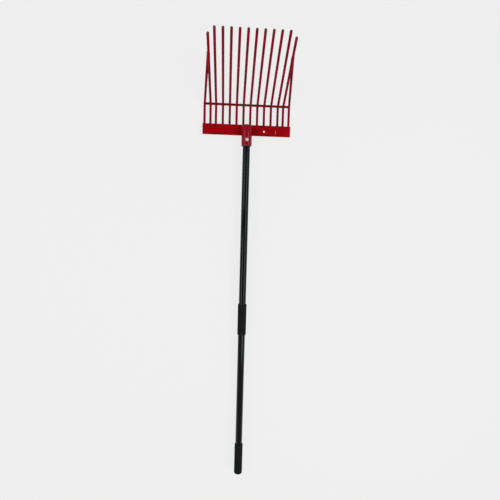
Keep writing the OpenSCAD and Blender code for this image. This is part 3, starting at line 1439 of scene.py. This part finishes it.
@dataclass(frozen=True)
class LongHandle:
    """The handle tube with its middle sleeve and its end grip.

    Attributes:
        socket: the socket that holds the tube.
        tube_gap: distance from the socket's upper end to the tube's.
        upper_tube: bare length between socket and sleeve.
        lower_tube: bare length between sleeve and end grip.
        grip_fit: gap between tube and grips.
        mid_lip: wall that the sleeve's taper leaves at its lower end.
        end_base: thickness of the end grip's closed end.
    """

    socket: HandleSocket
    tube_wall: float = 1.2
    tube_gap: float = 0.5
    tube_round: float = 0.3
    upper_tube: float = 550.0
    lower_tube: float = 420.0
    grip_fit: float = 0.1
    mid_length: float = 112.0
    mid_wall: float = 2.8
    mid_taper: float = 3.0
    mid_lip: float = 1.6
    mid_rounds: tuple[float, ...] = (0.2, 0.7, 1.6, 0.6, 0.2)
    end_length: float = 114.0
    end_wall: float = 2.4
    end_base: float = 6.0
    end_rounds: tuple[float, ...] = (0.0, 0.5, 0.2, 1.0, 3.0)

    @property
    def grip_bore(self) -> float:
        """Radius inside the grips."""
        return self.socket.tube_radius + self.grip_fit

    @property
    def mid_at(self) -> float:
        """Distance from the bar's top edge down to the sleeve."""
        return self.socket.mouth + self.upper_tube

    @property
    def end_at(self) -> float:
        """Distance from the bar's top edge down to the end grip."""
        return self.mid_at + self.mid_length + self.lower_tube

    def build_tube(self) -> BMesh:
        """Makes the tube, from inside the socket to the end grip's base.

        Returns:
            The tube.
        """
        radius = self.socket.tube_radius
        inner = radius - self.tube_wall
        start = self.socket.drop + self.tube_gap
        length = self.end_at + self.end_length - self.end_base - start
        section = [(inner, 0.0), (radius, 0.0), (radius, length), (inner, length)]
        return self.socket.lay(turned(section, (0.0, self.tube_round, self.tube_round)), start)

    def build_mid_grip(self) -> BMesh:
        """Makes the sleeve half way along the tube, square above and softly tapered below.

        Returns:
            The sleeve.
        """
        bore, length = self.grip_bore, self.mid_length
        radius = bore + self.mid_wall
        section = [
            (bore, 0.0), (radius, 0.0), (radius, length - self.mid_taper), (bore + self.mid_lip, length),
            (bore, length),
        ]
        return self.socket.lay(turned(section, self.mid_rounds), self.mid_at)

    def build_end_grip(self) -> BMesh:
        """Makes the closed grip, softly bevelled at its open end and rounded at its closed one.

        Returns:
            The grip.
        """
        bore, length = self.grip_bore, self.end_length
        radius, inside = bore + self.end_wall, length - self.end_base
        section = [(0.0, inside), (bore, inside), (bore, 0.0), (radius, 0.0), (radius, length), (0.0, length)]
        return self.socket.lay(turned(section, self.end_rounds), self.end_at)

    def dress(self, paint: Finish, rubber: Finish) -> None:
        """Adds the finished tube and grips.

        Args:
            paint: finish of the tube.
            rubber: finish of the grips.
        """
        finish_piece(self.build_tube(), "painted_tube", paint, "handle_tube")
        finish_piece(self.build_mid_grip(), "sleeve_grip", rubber, "mid_grip")
        finish_piece(self.build_end_grip(), "closed_grip", rubber, "end_grip")


@dataclass(frozen=True)
class Softbox:
    """A plain rectangular studio light that faces the handle's line, in metres.

    Attributes:
        name: the lamp's name.
        swing: degrees from straight up towards +X.
        middle: place of its middle along Y.
        width: width across the handle.
        length: length along the handle.
        radiance: brightness of its face, where 1 is white.
        distance: distance from the handle's line.
    """

    name: str
    swing: float
    middle: float
    width: float
    length: float
    radiance: float
    distance: float = 1.9

    def add(self) -> None:
        """Adds the lamp."""
        lamp = bpy.data.lights.new(self.name, "AREA")
        lamp.shape = "RECTANGLE"
        lamp.size, lamp.size_y = self.width, self.length
        lamp.energy = self.radiance * math.pi * self.width * self.length
        light = bpy.data.objects.new(self.name, lamp)
        swing = turn(math.radians(self.swing), "Y")
        light.matrix_world = shift(0.0, self.middle, 0.0) @ swing @ shift(0.0, 0.0, self.distance)
        light.visible_camera = False
        bpy.context.scene.collection.objects.link(light)


@dataclass(frozen=True)
class Studio:
    """Pale floor, soft lights, an even sky and the camera at the photograph's angle.

    Attributes:
        paper: grey of the floor.
        paper_glow: share of the floor's colour that is even, seen by the camera and in reflections.
        sky: height and grey of each step of the sky, from the horizon to overhead.
        camera_at: the camera's place in millimetres from the bar's top front edge.
        camera_turn: the camera's angles about X, Y and Z.
        focal_pixels: focal length in pixels of the picture.
    """

    paper: float = 0.862
    paper_glow: float = 0.91
    floor_half: float = 9.0
    floor_gap: float = 0.0004
    sky: tuple[Pair, ...] = ((0.0, 0.82), (0.32, 0.60), (0.55, 0.45), (0.80, 0.43), (0.97, 0.05))
    lights: tuple[Softbox, ...] = (
        Softbox("softbox_left", swing=-37.0, middle=-0.28, width=0.62, length=1.00, radiance=4.6),
        Softbox("softbox_left_far", swing=-40.0, middle=0.82, width=0.62, length=0.64, radiance=4.6),
        Softbox("softbox_right", swing=36.0, middle=0.24, width=0.62, length=1.75, radiance=4.6),
        Softbox("softbox_low", swing=25.0, middle=-1.02, width=0.85, length=0.50, radiance=6.5),
    )
    camera_at: Vector = Vector((-58.699, -290.781, 1307.208))
    camera_turn: tuple[float, float, float] = (-0.1079, -0.06221, 0.02124)
    focal_pixels: float = 369.438
    image_pixels: float = 500.0
    sensor: float = 36.0

    def add_floor(self) -> None:
        """Adds the pale paper floor, which keeps a soft shadow."""
        sheet = bmesh.new()
        bmesh.ops.create_grid(sheet, x_segments=1, y_segments=1, size=self.floor_half)
        floor = to_object(placed(sheet, shift(0.0, 0.0, -self.floor_gap)), "paper_floor")
        floor.data.materials.append(self.paper_material())

    def paper_material(self) -> bpy.types.Material:
        """Builds the paper, which glows evenly to the camera and in reflections.

        Returns:
            The material.
        """
        material = bpy.data.materials.new("pale_paper")
        bench = NodeBench(material)
        grey = (self.paper,) * 3
        rays = bench.node("ShaderNodeLightPath").outputs
        seen = rays["Is Camera Ray"]
        for name in ("Is Glossy Ray", "Is Transmission Ray"):
            seen = bench.calc("MAXIMUM", seen, rays[name])
        share = bench.calc("MULTIPLY", seen, self.paper_glow)
        sheet = bench.node("ShaderNodeBsdfDiffuse", Color=grey).outputs[0]
        glow = bench.node("ShaderNodeEmission", Color=grey).outputs[0]
        mix = bench.node("ShaderNodeMixShader", share, sheet, glow).outputs[0]
        bench.node("ShaderNodeOutputMaterial", Surface=mix)
        return material

    def add_sky(self) -> None:
        """Adds an even sky, as pale as the paper at the horizon and dim overhead."""
        world = bpy.data.worlds.new("studio_sky")
        bpy.context.scene.world = world
        bench = NodeBench(world, "Generated")
        ramp = bench.node("ShaderNodeValToRGB", bench.along("Z"))
        stops = ramp.color_ramp.elements
        while len(stops) < len(self.sky):
            stops.new(1.0)
        for stop, (height, grey) in zip(stops, self.sky):
            stop.position = height
            stop.color = (grey, grey, grey, 1.0)
        light = bench.node("ShaderNodeBackground", Color=ramp.outputs[0]).outputs[0]
        bench.node("ShaderNodeOutputWorld", Surface=light)

    def add_camera(self) -> None:
        """Adds the camera."""
        lens = bpy.data.cameras.new("photo_camera")
        lens.sensor_width = self.sensor
        lens.lens = self.focal_pixels / self.image_pixels * self.sensor
        camera = bpy.data.objects.new("photo_camera", lens)
        camera.location = to_part() @ self.camera_at
        camera.rotation_mode = "ZYX"
        camera.rotation_euler = self.camera_turn
        bpy.context.scene.collection.objects.link(camera)
        bpy.context.scene.camera = camera

    def set_up(self) -> None:
        """Adds the whole studio."""
        bpy.context.scene.view_settings.view_transform = "Standard"
        self.add_camera()
        self.add_floor()
        self.add_sky()
        for light in self.lights:
            light.add()


def main() -> None:
    """Builds the studio and every piece of the fork."""
    logging.basicConfig(level=logging.INFO, format="%(message)s")
    Studio().set_up()
    bar = BackBar()
    socket = HandleSocket()
    bar.dress(RedCoat("bar_coat", tint=(1.08, 0.20, 0.30), gloss=0.12, pale_streak=bar.pale_streak_place()))
    # The rods carry the bar's red paint; this darker, bluer copy of it is painted shade on the rods.
    TineHead(bar).dress(RedCoat("rod_coat", tint=(0.76, 0.25, 0.95), gloss=0.10, glint=(1.0, 0.30, 0.46)))
    # The socket carries the bar's red paint; the pinker tone of this copy is painted reflection on the
    # socket.
    socket.dress(RedCoat(
        "socket_coat", tint=(0.92, 0.45, 0.70), gloss=0.40, glint=(1.0, 0.30, 0.48),
        rough=Span(to_low=0.12, to_high=0.22),
    ))
    LongHandle(socket).dress(BlackPaint("tube_paint"), GripRubber("matte_rubber"))
    SocketBolt(socket).dress(BrightZinc("bright_zinc", tone=0.90), BrightZinc("dull_zinc", tone=0.30))


if __name__ == "__main__":
    main()
